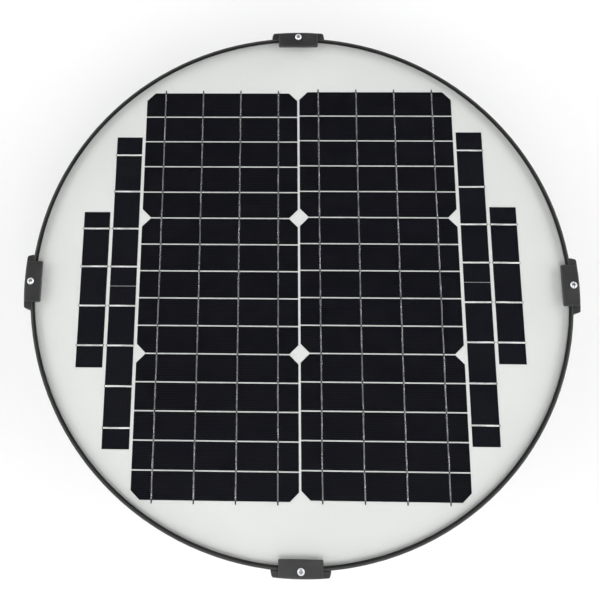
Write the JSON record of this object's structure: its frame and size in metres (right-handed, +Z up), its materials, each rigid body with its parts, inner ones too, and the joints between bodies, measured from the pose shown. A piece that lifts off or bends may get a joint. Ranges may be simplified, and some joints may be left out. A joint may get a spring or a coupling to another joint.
{
  "type": "solar attic fan",
  "caption": "Roof-mounted solar attic fan: round frameless solar panel clamped over a spun hood, with a motor-driven axial fan in a round flashed throat.",
  "frame": {"origin": "centre of the flashing's underside, where it meets the roof", "axes": "+Z up along the fan shaft, +Y along the columns of solar cells, +X towards the east clamp"},
  "size_m": [0.56, 0.56, 0.2385],
  "materials": {
    "solar_glass": "smooth tempered solar glass",
    "encapsulant": "clear film over a white sheet",
    "backsheet_white": "pale grey-white film",
    "silicon_cell": "near-black monocrystalline silicon",
    "tinned_ribbon": "tinned copper ribbon",
    "gasket_rubber": "black moulded rubber",
    "zinc_steel": "bright zinc-plated steel",
    "rivet_aluminium": "blind rivets",
    "bracket_steel": "black powder coat",
    "hood_coating": "fine-textured black powder coat",
    "flashing_coating": "fine-textured black powder coat",
    "galvanised_sheet": "galvanised sheet",
    "screen_wire": "galvanised woven wire",
    "motor_casting": "die-cast aluminium",
    "bearing_steel": "ground steel",
    "core_steel": "stacked steel laminations",
    "coil_copper": "enamelled copper wire",
    "magnet": "bonded magnet",
    "circuit_board": "green solder mask",
    "hub_aluminium": "turned aluminium",
    "spider_steel": "black-coated pressed steel",
    "blade_aluminium": "pressed mill-finish sheet",
    "lead_jacket": "black round sheath",
    "box_plastic": "black moulded plastic",
    "terminal_plastic": "grey moulded plastic",
    "diode_body": "moulded epoxy",
    "clamp_plastic": "satin black moulded plastic"
  },
  "bodies": {
    "housing": {"backsheet": "backsheet_white", "bearing_outer_races": "bearing_steel", "bypass_diodes": "diode_body", "cell_column_left": "silicon_cell", "cell_column_right": "silicon_cell", "clamp_base_east": "clamp_plastic", "clamp_base_north": "clamp_plastic", "clamp_base_south": "clamp_plastic", "clamp_base_west": "clamp_plastic", "clamp_nuts": "zinc_steel", "clamp_plate_east": "clamp_plastic", "clamp_plate_north": "clamp_plastic", "clamp_plate_south": "clamp_plastic", "clamp_plate_west": "clamp_plastic", "clamp_screws": "zinc_steel", "column_ribbons": "tinned_ribbon", "critter_screen": "screen_wire", "driver_board": "circuit_board", "edge_gasket": "gasket_rubber", "front_glass": "solar_glass", "hood": "hood_coating", "hood_bolts": "zinc_steel", "hood_grommet": "gasket_rubber", "hood_nuts": "zinc_steel", "hood_posts": "bracket_steel", "housing_screws": "zinc_steel", "junction_box": "box_plastic", "junction_box_lid": "box_plastic", "lead_glands": "box_plastic", "lid_screws": "zinc_steel", "motor_bracket": "bracket_steel", "motor_front_housing": "motor_casting", "motor_isolators": "gasket_rubber", "motor_rear_housing": "motor_casting", "mount_screws": "zinc_steel", "orifice_ring": "galvanised_sheet", "panel_arms": "bracket_steel", "panel_lead": "lead_jacket", "rear_encapsulant": "encapsulant", "riser_rivets": "rivet_aluminium", "roof_flashing": "flashing_coating", "screen_hoops": "bracket_steel", "side_cells": "silicon_cell", "side_ribbons": "tinned_ribbon", "stator_coils": "coil_copper", "stator_core": "core_steel", "terminal_strip": "terminal_plastic"},
    "fan": {"motor_shaft": "bearing_steel", "rotor_core": "core_steel", "rotor_magnets": "magnet", "bearing_inner_races": "bearing_steel", "fan_hub": "hub_aluminium", "fan_spider": "spider_steel", "blade_rivets": "rivet_aluminium", "shaft_nut": "zinc_steel", "fan_blade_1": "blade_aluminium", "fan_blade_2": "blade_aluminium", "fan_blade_3": "blade_aluminium", "fan_blade_4": "blade_aluminium", "fan_blade_5": "blade_aluminium"}
  },
  "joints": [
    {"name": "fan_spin", "type": "hinge", "parent": "housing", "child": "fan", "pos_m": [0, 0, 0.058], "axis": [0, 0, 1], "continuous": true}
  ]
}
